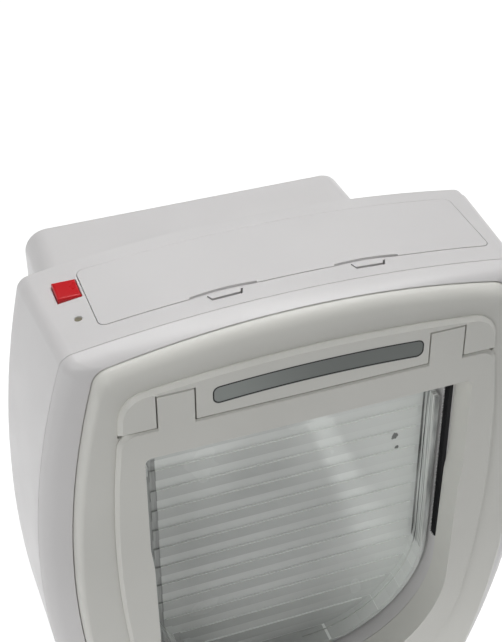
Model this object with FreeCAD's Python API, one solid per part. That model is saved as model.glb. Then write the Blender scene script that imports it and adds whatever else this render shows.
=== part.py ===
import FreeCAD, Part
import math
import os

"""A microchip cat flap: the indoor housing, its hinged front frame, the swinging clear flap and the tunnel.

Frame: origin at the centre of the four mounting screws, on the face that meets the door panel.
+X is to the right seen from indoors, +Y points outdoors, +Z is up. Lengths are in millimetres.
"""

V = FreeCAD.Vector

# The housing
HOUSING_WIDTH = 225.0
HOUSING_TOP = 120.5
HOUSING_BOTTOM = -131.5
HOUSING_DEPTH = 58.0
SIDE_RADIUS = 368.0
REAR_SIDE_RADIUS = 471.0
END_RADIUS = 588.0
TOP_FALL = 1.1
CORNER_RADIUS = 7.0
WALL = 2.4
BACK_PLATE = 4.5
BACK_INSET = 0.7
GAP = 0.3
EDGE_ROUND = 1.0
HALF = HOUSING_WIDTH / 2
JOINT_Y = -HOUSING_DEPTH
DEEP = 400.0
EPS = 0.01

# The rim and the front cover
RIM_DEPTH = 9.0
RIM_SIDE = 12.2
RIM_END = 1.6
RIM_TURN = 72.0
ROLL_STEPS = 3
SEAM_WIDTH = 0.3
SEAM_DEPTH = 0.6
COVER_RADIUS_SIDE = 394.0
COVER_RADIUS_END = 388.0
COVER_CORNER = 8.0
COVER_DEPTH = 6.5
COVER_SLOPE_SIDE = 3.2
COVER_SLOPE_END = 8.5
COVER_WALL = 2.2
GROOVE_DEPTH = 3.0
COVER_EDGE_Y = JOINT_Y - RIM_DEPTH
COVER_Y = COVER_EDGE_Y - COVER_DEPTH

# The cat's way through the front frame
FACE_PROUD = 2.5
FACE_Y = COVER_Y - FACE_PROUD
OPENING_WIDE = HALF - 42.7
OPENING_NARROW = OPENING_WIDE - 1.2
OPENING_FOOT = OPENING_WIDE - 2.8
OPENING_TOP = HOUSING_TOP - 51.3
OPENING_BOTTOM = HOUSING_BOTTOM + 31.5
OPENING_ROUND_TOP = 3.0
OPENING_ROUND_BOTTOM = OPENING_FOOT - 10.0
JOG_TOP = OPENING_TOP - 49.7
JOG_HEIGHT = 11.5
JOG_BOTTOM = JOG_TOP - JOG_HEIGHT

# The hinged front frame and the bar it hangs on
FRAME_HALF = OPENING_WIDE + 13.8
FRAME_SIDE_RADIUS = 500.0
FRAME_WIDEST_Z = JOG_TOP - 1.5
FRAME_BOTTOM = OPENING_BOTTOM - 14.5
FRAME_CORNER = 8.0
FRAME_CORNER_LOW = FRAME_HALF - 23.6
FRAME_RING = 1.8
FRAME_RING_DEPTH = 13.8
FRAME_BEVEL = 1.5
FRAME_TOP_DROP = 6.5
WINDOW_CLEAR = 2.0
BAR_HALF = FRAME_HALF - 4.2
BAR_TOP = HOUSING_TOP - 15.1
BAR_CORNER = 12.0
HINGE_Z = HOUSING_TOP - 30.2
HINGE_BEHIND_FACE = 4.7
HINGE_PIN_RADIUS = 1.5
BAR_SWEEP = 7.9
FRAME_SWEEP = BAR_SWEEP + 0.45
KNUCKLE_TOP = 9.5
KNUCKLE_RADIUS = 3.6
NOTCH_CLEAR = 0.7
KNUCKLE_OUTER = OPENING_WIDE - 6.0
KNUCKLE_INNER = KNUCKLE_OUTER - 14.6
RUNNING = 0.06
LUG_WIDTH = 3.0
HINGE_Y = FACE_Y + HINGE_BEHIND_FACE
RING_BACK_Y = FACE_Y + FRAME_RING_DEPTH

# The label plate
LABEL_CENTRE = 2.0
LABEL_LENGTH = 2 * KNUCKLE_INNER - 10.4
LABEL_HEIGHT = 8.4
LABEL_TOP = BAR_TOP - 6.8
LABEL_THICK = 0.8
LABEL_CORNER = 2.9

# The tunnel's liner and its outer wall
TUNNEL_LENGTH = 93.0
LINER_HALF = OPENING_WIDE - 1.4
LINER_TOP = OPENING_TOP - 8.2
LINER_BOTTOM = OPENING_BOTTOM - 0.4
LINER_CORNER = LINER_HALF - 10.4
LINER_CORNER_TOP = 4.0
LINER_WALL = 2.0
LINER_FRONT_GAP = 0.4
LINER_FLANGE = 2.0
LINER_FLANGE_REACH = 8.0
LINER_FRONT_Y = RING_BACK_Y + LINER_FRONT_GAP
TUNNEL_HALF_END = LINER_HALF + 12.2
TUNNEL_HALF_ROOT = TUNNEL_HALF_END + 2.6
TUNNEL_TOP_END = LINER_TOP + 8.5
TUNNEL_TOP_ROOT = TUNNEL_TOP_END + 2.0
TUNNEL_BOTTOM_END = LINER_BOTTOM - 6.6
TUNNEL_BOTTOM_ROOT = TUNNEL_BOTTOM_END - 3.0
TUNNEL_CORNER = 11.0
TUNNEL_CORNER_LOW = TUNNEL_HALF_END - 19.4

# The flap, its magnet and the draught strips beside it
FLAP_HALF = LINER_HALF - 1.9
FLAP_TOP = LINER_TOP - 4.5
FLAP_BOTTOM = LINER_BOTTOM + 3.4
FLAP_CORNER = FLAP_HALF - 9.2
FLAP_CORNER_TOP = 3.0
FLAP_THICK = 2.4
FLAP_MARGIN = 5.0
FLAP_FRONT = JOINT_Y + 11.6
FLAP_BACK = FLAP_FRONT + FLAP_THICK
FLAP_LIP_FRONT = FLAP_FRONT - 10.0
FLAP_LIP = 2.2
LIP_GROOVE_Y = FLAP_FRONT - 3.1
LIP_GROOVE = 0.7
LIP_TOP_DROP = 8.0
RIB_PITCH = 11.6
RIB_HEIGHT = 0.7
FLAP_KNUCKLE_RADIUS = 3.0
FLAP_PIN_RADIUS = 1.5
FLAP_PIN_LENGTH = 9.0
FLAP_PIVOT_Y = FLAP_FRONT - 0.2
FLAP_PIVOT_Z = FLAP_TOP - FLAP_KNUCKLE_RADIUS
MAGNET_LENGTH = 14.0
MAGNET_HEIGHT = 5.0
MAGNET_THICK = 1.8
MAGNET_COVER = 1.0
PILE_WIDTH = 3.9
PILE_PROUD = 0.6
PILE_LET_IN = 1.0
PILE_TOP = LINER_TOP - 3.0
PILE_BOTTOM = LINER_BOTTOM + 65.4

# The battery bay, its lid and the cells
LID_LEFT = -HALF + 35.5
LID_RIGHT = HALF - 24.9
LID_FRONT = JOINT_Y + 10.5
LID_REAR = -BACK_PLATE - 4.3
LID_CORNER = 3.0
LID_GAP = 0.22
TRAY_RIM = 4.0
TRAY_SIDE = 0.6
TRAY_WALL = 1.6
TRAY_FLOOR = HOUSING_TOP - 26.5
TRAY_LEDGE = 3.0
TRAY_LEG = 2.5
LEG_IN = 4.0
LEG_END = 3.0
LEG_FAR = 12.0
LATCH_CENTRES = (LID_LEFT + 49.5, LID_LEFT + 109.5)
LATCH_SLIT = 27.5
LATCH_SLIT_ENDS = 1.0
LATCH_SLIT_BOW = 2.0
LATCH_SLIT_FLOOR = 1.1
TONGUE_BACK = 16.4
TONGUE_FRONT = 12.0
TONGUE_REACH = 4.4
TONGUE_DROP = 0.25
TONGUE_GAP = 1.4
CELL_RADIUS = 7.1
CELL_LENGTH = 49.2
CELL_NUB = 1.2
CELL_NUB_RADIUS = 2.6
CELL_PITCH = 2 * CELL_RADIUS + 1.2
TRAY_HALF = CELL_LENGTH + CELL_NUB + 6.6
CONTACT_THICK = 0.5
CONTACT_HALF = 5.0
SPRING_RADIUS = 3.0

# The button, the lamp and the board
BUTTON_X = -HALF + 29.2
BUTTON_Y = LID_REAR - 10.9
BUTTON_WIDTH = 9.6
BUTTON_LENGTH = 11.6
BUTTON_PROUD = 1.3
BUTTON_STEM = 2.2
BUTTON_FLANGE = 1.2
BUTTON_TRAVEL = 1.4
LAMP_Y = BUTTON_Y - 19.1
LAMP_RADIUS = 1.5
LAMP_SUNK = 0.6
BOARD_Z = HOUSING_TOP - 32.5
BOARD_THICK = 1.6
BOARD_SIZE = (60.0, 32.0)
BOARD_LEFT = 5.5
BOARD_BACK = 8.0
SWITCH_HALF = 3.0
SWITCH_HEIGHT = 4.0
CHIP_AT = (24.0, 22.0)
CHIP_SIZE = (12.0, 10.0, 1.8)
CAPACITOR_AT = (48.0, 10.0)
CAPACITOR_SIZE = (3.0, 4.5)

# The latch, the fixings and the reader's coil
BOLT_WIDTH = 8.0
BOLT_THICK = 2.8
BOLT_X = -14.0
BOLT_LENGTH = 15.0
BOLT_GAP = 0.8
BOLT_SLACK = 0.4
BOLT_REST = 0.6
COIL_BOX = (15.0, 12.0)
COIL_FOOT = 3.0
MOUNT_X = HALF - 17.5
MOUNT_Z = HOUSING_TOP - 44.5
MOUNT_HOLE = 2.6
MOUNT_BOSS = 5.0
MOUNT_BOSS_LENGTH = 30.0
ANTENNA_WIRE = 2.5
ANTENNA_LENGTH = 18.0
ANTENNA_START = 26.0


def arc(a, b, c):
    return Part.Arc(a, b, c).toShape()


def solid_of(shape):
    """The shape with its seams merged, as plain solids."""
    shape = shape.removeSplitter()
    if len(shape.Solids) == 1:
        return shape.Solids[0]
    return Part.makeCompound(shape.Solids)


def box(x0, x1, y0, y1, z0, z1):
    return Part.makeBox(x1 - x0, y1 - y0, z1 - z0, V(x0, y0, z0))


def rod(radius, length, start, direction):
    return Part.makeCylinder(radius, length, start, direction)


def mirrored(shape):
    return shape.mirror(V(0, 0, 0), V(1, 0, 0))


def circle_meet(c1, r1, c2, r2, pick):
    """Where two circles in the XZ plane meet, on the side that pick points to."""
    dx, dz = c2[0] - c1[0], c2[1] - c1[1]
    d = math.hypot(dx, dz)
    a = (r1 * r1 - r2 * r2 + d * d) / (2 * d)
    h = math.sqrt(max(r1 * r1 - a * a, 0.0))
    mx, mz = c1[0] + a * dx / d, c1[1] + a * dz / d
    found = [(mx - h * dz / d, mz + h * dx / d), (mx + h * dz / d, mz - h * dx / d)]
    return max(found, key=lambda p: p[0] * pick[0] + p[1] * pick[1])


def barrel_wire(y, half, top, bottom, side_r, end_r, corner_r, low_r=None, widest=0.0):
    """A closed outline with bowed sides and rounded corners, in the plane Y = y."""
    side_c = (half - side_r, widest)

    def corner(end_c, sign, corner_r):
        c = circle_meet(side_c, side_r - corner_r, end_c, end_r - corner_r, (1, sign))

        def out(origin, radius):
            k = radius / math.hypot(c[0] - origin[0], c[1] - origin[1])
            return (origin[0] + (c[0] - origin[0]) * k, origin[1] + (c[1] - origin[1]) * k)

        on_side, on_end = out(side_c, side_r), out(end_c, end_r)
        mid = ((on_side[0] + on_end[0]) / 2 - c[0], (on_side[1] + on_end[1]) / 2 - c[1])
        k = corner_r / math.hypot(*mid)
        return on_side, (c[0] + mid[0] * k, c[1] + mid[1] * k), on_end

    up_side, up_mid, up_end = corner((0.0, top - end_r), 1, corner_r)
    low_side, low_mid, low_end = corner((0.0, bottom + end_r), -1, low_r or corner_r)

    def at(p, sign=1):
        return V(sign * p[0], y, p[1])

    edges = [
        arc(at(up_end), V(0, y, top), at(up_end, -1)),
        arc(at(up_end, -1), at(up_mid, -1), at(up_side, -1)),
        arc(at(up_side, -1), V(-half, y, widest), at(low_side, -1)),
        arc(at(low_side, -1), at(low_mid, -1), at(low_end, -1)),
        arc(at(low_end, -1), V(0, y, bottom), at(low_end)),
        arc(at(low_end), at(low_mid), at(low_side)),
        arc(at(low_side), V(half, y, widest), at(up_side)),
        arc(at(up_side), at(up_mid), at(up_end)),
    ]
    return Part.Wire(edges)


def depth_share(y):
    """How far back a plane lies: 0 at the front edge of the housing and 1 at the door."""
    return (y - JOINT_Y) / HOUSING_DEPTH


def housing_wire(y, inset=0.0):
    """The housing's outline: its sides straighten and its top falls a little towards the door."""
    share = min(max(depth_share(y), 0.0), 1.0)
    side_r = SIDE_RADIUS + (REAR_SIDE_RADIUS - SIDE_RADIUS) * share
    return barrel_wire(y, HALF - inset, HOUSING_TOP - TOP_FALL * share - inset, HOUSING_BOTTOM + inset,
                       side_r - inset, END_RADIUS - inset, max(CORNER_RADIUS - inset, 1.0))


def cover_wire(y, side, end, corner=COVER_CORNER):
    """An outline of the front, set in from the housing's by side at the sides and by end at the ends."""
    return barrel_wire(y, HALF - side, HOUSING_TOP - end, HOUSING_BOTTOM + end,
                       COVER_RADIUS_SIDE, COVER_RADIUS_END, corner)


def prism(wire, length):
    return Part.Face(wire).extrude(V(0, length, 0))


def housing_prism(y0, y1, inset=0.0):
    """A slice of the housing's solid form, set in by inset."""
    shape = Part.makeLoft([housing_wire(JOINT_Y, inset), housing_wire(0.0, inset)], True, True)
    if y0 < JOINT_Y:
        shape = shape.fuse(prism(housing_wire(JOINT_Y, inset), y0 - JOINT_Y))
    if y1 > 0:
        shape = shape.fuse(prism(housing_wire(0.0, inset), y1))
    return shape.common(box(-DEEP, DEEP, y0, y1, -DEEP, DEEP))


def core_prism(y0, y1, inset=0.0):
    """A slice of the housing's straight hollow, set in by inset."""
    room = WALL + inset
    wire = barrel_wire(y0, HALF - room, HOUSING_TOP - TOP_FALL - room, HOUSING_BOTTOM + room,
                       SIDE_RADIUS - room, END_RADIUS - room, max(CORNER_RADIUS - room, 1.0))
    return prism(wire, y1 - y0)


def outline(points, y):
    corners = [V(x, y, z) for x, z in points]
    return Part.makePolygon(corners + corners[:1])


def round_upright(shape, radius, keep):
    """Rounds the edges along Y that keep picks by their x and z."""
    edges = []
    for e in shape.Edges:
        a, b = e.firstVertex().Point, e.lastVertex().Point
        along = abs(a.x - b.x) < EPS and abs(a.z - b.z) < EPS and abs(a.y - b.y) > EPS
        if along and keep(a.x, a.z):
            edges.append(e)
    return shape.makeFillet(radius, edges) if edges else shape


def rounded_box(half, bottom, top, y0, y1, r_bottom, r_top):
    shape = box(-half, half, y0, y1, bottom, top)
    middle = (top + bottom) / 2
    shape = round_upright(shape, min(r_bottom, half - 0.5), lambda x, z: z < middle)
    return round_upright(shape, min(r_top, half - 0.5), lambda x, z: z > middle)


def opening_prism(y0, y1, grow=0.0):
    """The cat's way through the front frame: wide above the jog and narrower below it."""
    wide, narrow = OPENING_WIDE + grow, OPENING_NARROW + grow
    top, bottom = OPENING_TOP + grow, OPENING_BOTTOM - grow
    right = [(OPENING_FOOT + grow, bottom), (narrow, JOG_BOTTOM), (wide, JOG_TOP), (wide, top)]
    left = [(-x, z) for x, z in reversed(right)]
    shape = prism(outline(right + left, y0), y1 - y0)
    shape = round_upright(shape, OPENING_ROUND_BOTTOM + grow, lambda x, z: z < bottom + EPS)
    shape = round_upright(shape, OPENING_ROUND_TOP + grow, lambda x, z: z > top - EPS)
    return round_upright(shape, JOG_HEIGHT, lambda x, z: bottom + 1 < z < top - 1)


# Fixed shells

def lid_box(grow, y_grow=None, z0=0.0, z1=DEEP):
    y_grow = grow if y_grow is None else y_grow
    shape = box(LID_LEFT - grow, LID_RIGHT + grow, LID_FRONT - y_grow, LID_REAR + y_grow, z0, z1)
    upright = [e for e in shape.Edges if abs(e.firstVertex().Z - e.lastVertex().Z) > 1]
    return shape.makeFillet(max(LID_CORNER + grow, 0.5), upright)


def trapezoid(centre, back, front, back_y, front_y, z0, z1):
    """An upright block with a wide edge towards the door and a narrow one towards the room."""
    points = [(centre - back / 2, back_y), (centre + back / 2, back_y),
              (centre + front / 2, front_y), (centre - front / 2, front_y)]
    corners = [V(x, y, z0) for x, y in points]
    return Part.Face(Part.makePolygon(corners + corners[:1])).extrude(V(0, 0, z1 - z0))


def latch_pocket(centre):
    """The scoop in front of the lid's edge, where a fingertip presses the tongue."""
    return trapezoid(centre, TONGUE_BACK, TONGUE_FRONT, LID_FRONT + 1, LID_FRONT - TONGUE_REACH, TRAY_FLOOR, DEEP)


def latch_slit(centre):
    """The shallow bowed groove along the lid's front edge at each latch."""
    a, b = (V(centre + side * LATCH_SLIT / 2, LID_FRONT - GAP, TRAY_FLOOR) for side in (-1, 1))
    up = V(0, LATCH_SLIT_ENDS + GAP, 0)
    bow = arc(b + up, V(centre, LID_FRONT + LATCH_SLIT_BOW, TRAY_FLOOR), a + up)
    edges = [Part.LineSegment(a, b).toShape(), Part.LineSegment(b, b + up).toShape(), bow,
             Part.LineSegment(a + up, a).toShape()]
    block = Part.Face(Part.Wire(edges)).extrude(V(0, 0, DEEP))
    return block.cut(housing_prism(LID_FRONT - 2 * GAP, LID_REAR, LATCH_SLIT_FLOOR))


def make_main_housing():
    """The deep outer wall of the housing, open at the front and at the back."""
    y1 = -BACK_PLATE
    shell = housing_prism(JOINT_Y, y1).cut(core_prism(JOINT_Y - 1, y1 + 1))
    shell = shell.cut(lid_box(LID_GAP))
    for centre in LATCH_CENTRES:
        shell = shell.cut(latch_pocket(centre))
    half_x, half_y = BUTTON_WIDTH / 2 + GAP, BUTTON_LENGTH / 2 + GAP
    hole = box(BUTTON_X - half_x, BUTTON_X + half_x, BUTTON_Y - half_y, BUTTON_Y + half_y, 0, DEEP)
    shell = shell.cut(hole)
    shell = shell.cut(rod(LAMP_RADIUS + RUNNING, DEEP, V(BUTTON_X, LAMP_Y, 0), V(0, 0, 1)))
    return solid_of(shell)


def tunnel_outer(grow=0.0):
    """The tapered outside of the tunnel, as a solid from the back plate to its end."""
    def section(y, half, top, bottom):
        return rounded_wire(y, half + grow, bottom - grow, top + grow,
                            TUNNEL_CORNER + grow, TUNNEL_CORNER_LOW + grow)
    root = section(-BACK_PLATE, TUNNEL_HALF_ROOT, TUNNEL_TOP_ROOT, TUNNEL_BOTTOM_ROOT)
    end = section(TUNNEL_LENGTH, TUNNEL_HALF_END, TUNNEL_TOP_END, TUNNEL_BOTTOM_END)
    return Part.makeLoft([root, end], True, True)


def rounded_wire(y, half, bottom, top, r_top, r_low):
    pts = []
    for sx, sz in ((1, 1), (-1, 1), (-1, -1), (1, -1)):
        r = r_top if sz > 0 else r_low
        k = r * (1 - math.sqrt(0.5))
        x, z = sx * half, top if sz > 0 else bottom
        a, b, m = V(x, y, z - sz * r), V(x - sx * r, y, z), V(x - sx * k, y, z - sz * k)
        pts.append((a, m, b) if sx * sz > 0 else (b, m, a))
    edges = []
    for i, (a, m, b) in enumerate(pts):
        edges.append(arc(a, m, b))
        edges.append(Part.LineSegment(b, pts[(i + 1) % 4][0]).toShape())
    return Part.Wire(edges)


def mount_points():
    return [(sx * MOUNT_X, sz * MOUNT_Z) for sx in (-1, 1) for sz in (-1, 1)]


def make_rear_shell():
    """The back plate and the outer tunnel in one moulding, with the four screw bosses."""
    plate = prism(housing_wire(0.0, BACK_INSET), -BACK_PLATE)
    spout = tunnel_outer()
    hollow = tunnel_outer(-WALL)
    shape = plate.fuse(spout).cut(hollow)
    for x, z in mount_points():
        shape = shape.fuse(rod(MOUNT_BOSS, MOUNT_BOSS_LENGTH, V(x, -BACK_PLATE, z), V(0, -1, 0)))
    for x, z in mount_points():
        shape = shape.cut(rod(MOUNT_HOLE, MOUNT_BOSS_LENGTH + 2 * BACK_PLATE, V(x, 1, z), V(0, -1, 0)))
    return solid_of(shape)


def liner_prism(y0, y1, grow=0.0):
    return rounded_box(LINER_HALF + grow, LINER_BOTTOM - grow, LINER_TOP + grow, y0, y1,
                       LINER_CORNER + grow, LINER_CORNER_TOP + grow)


def bolt_range():
    """The bolt's own Y range, just in front of the flap's rim."""
    back = FLAP_LIP_FRONT - BOLT_GAP
    return back - BOLT_THICK, back


def bolt_slot():
    """The slot in the sill that the latch bolt rises through."""
    y0, y1 = bolt_range()
    half = BOLT_WIDTH / 2 + BOLT_SLACK
    return box(BOLT_X - half, BOLT_X + half, y0 - BOLT_SLACK, y1 + BOLT_SLACK,
               LINER_BOTTOM - LINER_WALL - LINER_FLANGE_REACH - 1, LINER_BOTTOM + 3)


def make_tunnel_liner():
    """The smooth inner tunnel with a flange at each end, the sill slot and the flap's bearing holes."""
    end = TUNNEL_LENGTH
    tube = liner_prism(LINER_FRONT_Y, end, LINER_WALL)
    flange = tunnel_outer(-WALL).common(box(-DEEP, DEEP, end - LINER_WALL, end, -DEEP, DEEP))
    lip = liner_prism(LINER_FRONT_Y, LINER_FRONT_Y + LINER_FLANGE, LINER_WALL + LINER_FLANGE_REACH)
    shape = tube.fuse(flange).fuse(lip).cut(liner_prism(LINER_FRONT_Y - 1, end + 1)).cut(bolt_slot())
    for sx in (-1, 1):
        outside = V(sx * (LINER_HALF + LINER_WALL - EPS), FLAP_PIVOT_Y, FLAP_PIVOT_Z)
        inside = V(sx * (LINER_HALF - 1), FLAP_PIVOT_Y, FLAP_PIVOT_Z)
        boss = rod(FLAP_KNUCKLE_RADIUS, LINER_WALL, outside, V(sx, 0, 0))
        hole = rod(FLAP_PIN_RADIUS + RUNNING, 3 * LINER_WALL, inside, V(sx, 0, 0))
        shape = shape.fuse(boss).cut(hole).cut(make_pile_strip(sx))
    return solid_of(shape)


def rounded_edge(wire_at, depth, side, end, turn):
    """A stack of outlines that rolls over from the side face towards the front, closed to one solid.

    turn is how far the roll goes in degrees: 90 ends square to the front.
    """
    rows = []
    for i in range(ROLL_STEPS + 1):
        a = math.radians(turn) * i / ROLL_STEPS
        inward = (1 - math.cos(a)) / (1 - math.cos(math.radians(turn)))
        forward = math.sin(a) / math.sin(math.radians(turn))
        rows.append(wire_at(depth * forward, side * inward, end * inward, i / ROLL_STEPS))
    return Part.makeLoft(rows, True, True)


def rim_wire(forward, side, end, share):
    """The rim's outline at one depth: the housing's at the back, the front cover's at the groove."""
    side_r = SIDE_RADIUS + (COVER_RADIUS_SIDE - SIDE_RADIUS) * share
    end_r = END_RADIUS + (COVER_RADIUS_END - END_RADIUS) * share
    return barrel_wire(JOINT_Y - forward, HALF - side, HOUSING_TOP - end, HOUSING_BOTTOM + end, side_r, end_r,
                       CORNER_RADIUS + (COVER_CORNER - CORNER_RADIUS) * share)


def make_front_bezel():
    """The rounded rim between the housing and the front cover, hollow behind its wide sides."""
    rim = rounded_edge(rim_wire, RIM_DEPTH, RIM_SIDE - GAP, RIM_END - GAP / 2, RIM_TURN)
    rim = rim.cut(prism(cover_wire(COVER_EDGE_Y - 1, RIM_SIDE, RIM_END), RIM_DEPTH + 2))
    pocket = core_prism(JOINT_Y - 0.35 * RIM_DEPTH, JOINT_Y + 1)
    keep = prism(cover_wire(JOINT_Y - RIM_DEPTH, RIM_SIDE - WALL, RIM_END - WALL), 2 * RIM_DEPTH)
    seam = prism(housing_wire(JOINT_Y, -1.0), -SEAM_WIDTH)
    seam = seam.cut(prism(housing_wire(JOINT_Y, SEAM_DEPTH), -SEAM_WIDTH))
    return solid_of(rim.cut(pocket.cut(keep)).cut(seam))


def bar_prism(y0, y1):
    """The raised bar over the frame, with an arched top and rounded upper corners."""
    low = HINGE_Z - BAR_SWEEP - 2
    drop = END_RADIUS - math.sqrt(END_RADIUS ** 2 - BAR_HALF ** 2)
    a, b = V(-BAR_HALF, y0, low), V(BAR_HALF, y0, low)
    c, d = V(BAR_HALF - 1, y0, BAR_TOP - drop), V(-BAR_HALF + 1, y0, BAR_TOP - drop)
    edges = [Part.LineSegment(a, b).toShape(), Part.LineSegment(b, c).toShape(),
             arc(c, V(0, y0, BAR_TOP), d), Part.LineSegment(d, a).toShape()]
    shape = Part.Face(Part.Wire(edges)).extrude(V(0, y1 - y0, 0))
    return round_upright(shape, BAR_CORNER, lambda x, z: z > HINGE_Z)


def front_edge_bevel(shape, size, keep):
    """Bevels the front face's edges, those that lie in the plane Y = FACE_Y and that keep picks."""
    edges = []
    for e in shape.Edges:
        b = e.BoundBox
        if abs(b.YMin - FACE_Y) < EPS and abs(b.YMax - FACE_Y) < EPS and keep(b):
            edges.append(e)
    return shape.makeChamfer(size, edges)


def make_front_cover():
    """The face of the housing, with the hinge bar, the knuckle notches and the window for the frame."""
    def layer(forward, side, end, share):
        return cover_wire(COVER_EDGE_Y - forward, RIM_SIDE + GAP + side, RIM_END + GAP + end)

    dome = rounded_edge(layer, COVER_DEPTH, COVER_SLOPE_SIDE, COVER_SLOPE_END, 90.0)
    skirt = prism(cover_wire(COVER_EDGE_Y, RIM_SIDE + GAP, RIM_END + GAP), RIM_DEPTH)
    seat = prism(cover_wire(COVER_EDGE_Y + GROOVE_DEPTH, RIM_SIDE, RIM_END), RIM_DEPTH - GROOVE_DEPTH)
    hollow = cover_wire(COVER_Y + COVER_WALL, RIM_SIDE + COVER_SLOPE_SIDE + COVER_WALL, RIM_END + COVER_SLOPE_END)
    inside = prism(hollow, HOUSING_DEPTH)
    shape = dome.fuse(skirt).fuse(seat).cut(inside)
    bar = bar_prism(FACE_Y, COVER_Y + COVER_WALL)
    bar = front_edge_bevel(bar, FRAME_BEVEL, lambda b: b.ZMax > HINGE_Z)
    under = rod(BAR_SWEEP, 2 * DEEP, V(-DEEP, HINGE_Y, HINGE_Z), V(1, 0, 0))
    bar = bar.common(under.fuse(box(-DEEP, DEEP, FACE_Y - 1, JOINT_Y, HINGE_Z, DEEP)))
    room = FRAME_RING + WINDOW_CLEAR
    window = rounded_box(OPENING_WIDE + room, OPENING_BOTTOM - room, OPENING_TOP + room, FACE_Y - 1, JOINT_Y + 1,
                         OPENING_ROUND_BOTTOM, OPENING_ROUND_TOP)
    strip = box(-FRAME_HALF, FRAME_HALF, COVER_Y - 1, COVER_Y + COVER_WALL + EPS,
                HINGE_Z - FRAME_SWEEP - 4 * GAP, HINGE_Z)
    shape = shape.cut(window).cut(strip.common(bar_prism(COVER_Y - 1, JOINT_Y))).fuse(bar)
    span = KNUCKLE_OUTER - KNUCKLE_INNER + 2 * NOTCH_CLEAR
    lug_z = HINGE_Z - KNUCKLE_RADIUS
    for sx in (-1, 1):
        middle = sx * (KNUCKLE_INNER + KNUCKLE_OUTER) / 2
        for side in (-1, 1):
            x0, x1 = sorted((middle + side * span / 2, middle + side * (span / 2 + LUG_WIDTH)))
            shape = shape.fuse(box(x0, x1, COVER_Y, HINGE_Y + KNUCKLE_RADIUS, lug_z, lug_z + 2 * KNUCKLE_RADIUS + 3))
        start = V(middle - span / 2, HINGE_Y, HINGE_Z)
        shape = shape.cut(rod(KNUCKLE_TOP + NOTCH_CLEAR, span, start, V(1, 0, 0)))
        shape = shape.cut(rod(HINGE_PIN_RADIUS, span + 2 * LUG_WIDTH, start - V(LUG_WIDTH, 0, 0), V(1, 0, 0)))
    shape = shape.cut(label_prism(FACE_Y, FACE_Y + LABEL_THICK))
    return solid_of(shape)


def label_prism(y0, y1):
    """The label's pill outline, which follows the arch of the bar."""
    centre = V(0, y0, LABEL_TOP - END_RADIUS)
    band = rod(END_RADIUS, y1 - y0, centre, V(0, 1, 0))
    band = band.cut(rod(END_RADIUS - LABEL_HEIGHT, y1 - y0, centre, V(0, 1, 0)))
    band = band.common(box(LABEL_CENTRE - LABEL_LENGTH / 2, LABEL_CENTRE + LABEL_LENGTH / 2, y0, y1, 0, DEEP))
    return solid_of(round_upright(band, LABEL_CORNER, lambda x, z: True))


def make_hinge_pins():
    """Two short steel pins that carry the front frame's knuckles."""
    pins = []
    for sx in (-1, 1):
        middle = sx * (KNUCKLE_INNER + KNUCKLE_OUTER) / 2
        half = (KNUCKLE_OUTER - KNUCKLE_INNER) / 2 + NOTCH_CLEAR + LUG_WIDTH
        pins.append(rod(HINGE_PIN_RADIUS, 2 * half, V(middle - half, HINGE_Y, HINGE_Z), V(1, 0, 0)))
    return Part.makeCompound(pins)


def make_front_frame():
    """The hinged frame round the opening: a bevelled plate, two knuckles and a ring that enters the window."""
    back = COVER_Y - GAP
    plate = barrel_wire(FACE_Y, FRAME_HALF, HINGE_Z - FRAME_TOP_DROP, FRAME_BOTTOM, FRAME_SIDE_RADIUS,
                        40 * FRAME_SIDE_RADIUS, FRAME_CORNER, FRAME_CORNER_LOW, FRAME_WIDEST_Z)
    plate = front_edge_bevel(prism(plate, back - FACE_Y), FRAME_BEVEL, lambda b: True)
    shape = plate.cut(rod(FRAME_SWEEP, 2 * DEEP, V(-DEEP, HINGE_Y, HINGE_Z), V(1, 0, 0)))
    width = KNUCKLE_OUTER - KNUCKLE_INNER
    starts = [V(x, HINGE_Y, HINGE_Z) for x in (KNUCKLE_INNER, -KNUCKLE_OUTER)]
    for start in starts:
        x0, x1 = start.x, start.x + width
        tab = box(x0, x1, FACE_Y, back, HINGE_Z - FRAME_SWEEP - 4, HINGE_Z + KNUCKLE_TOP)
        swing = rod(KNUCKLE_TOP, width, start, V(1, 0, 0)).fuse(box(x0, x1, FACE_Y, back, -DEEP, HINGE_Z))
        shape = shape.fuse(tab.common(swing).fuse(rod(KNUCKLE_RADIUS, width, start, V(1, 0, 0))))
    shape = shape.fuse(opening_prism(FACE_Y + FRAME_BEVEL, RING_BACK_Y, FRAME_RING))
    shape = shape.cut(opening_prism(FACE_Y - 1, RING_BACK_Y + 1))
    for start in starts:
        shape = shape.cut(rod(HINGE_PIN_RADIUS + RUNNING, width + 2, start - V(1, 0, 0), V(1, 0, 0)))
    return solid_of(shape)


# Flap

def flap_prism(y0, y1, inset=0.0):
    return rounded_box(FLAP_HALF - inset, FLAP_BOTTOM + inset, FLAP_TOP - inset, y0, y1, FLAP_CORNER - inset,
                       FLAP_CORNER_TOP)


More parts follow.
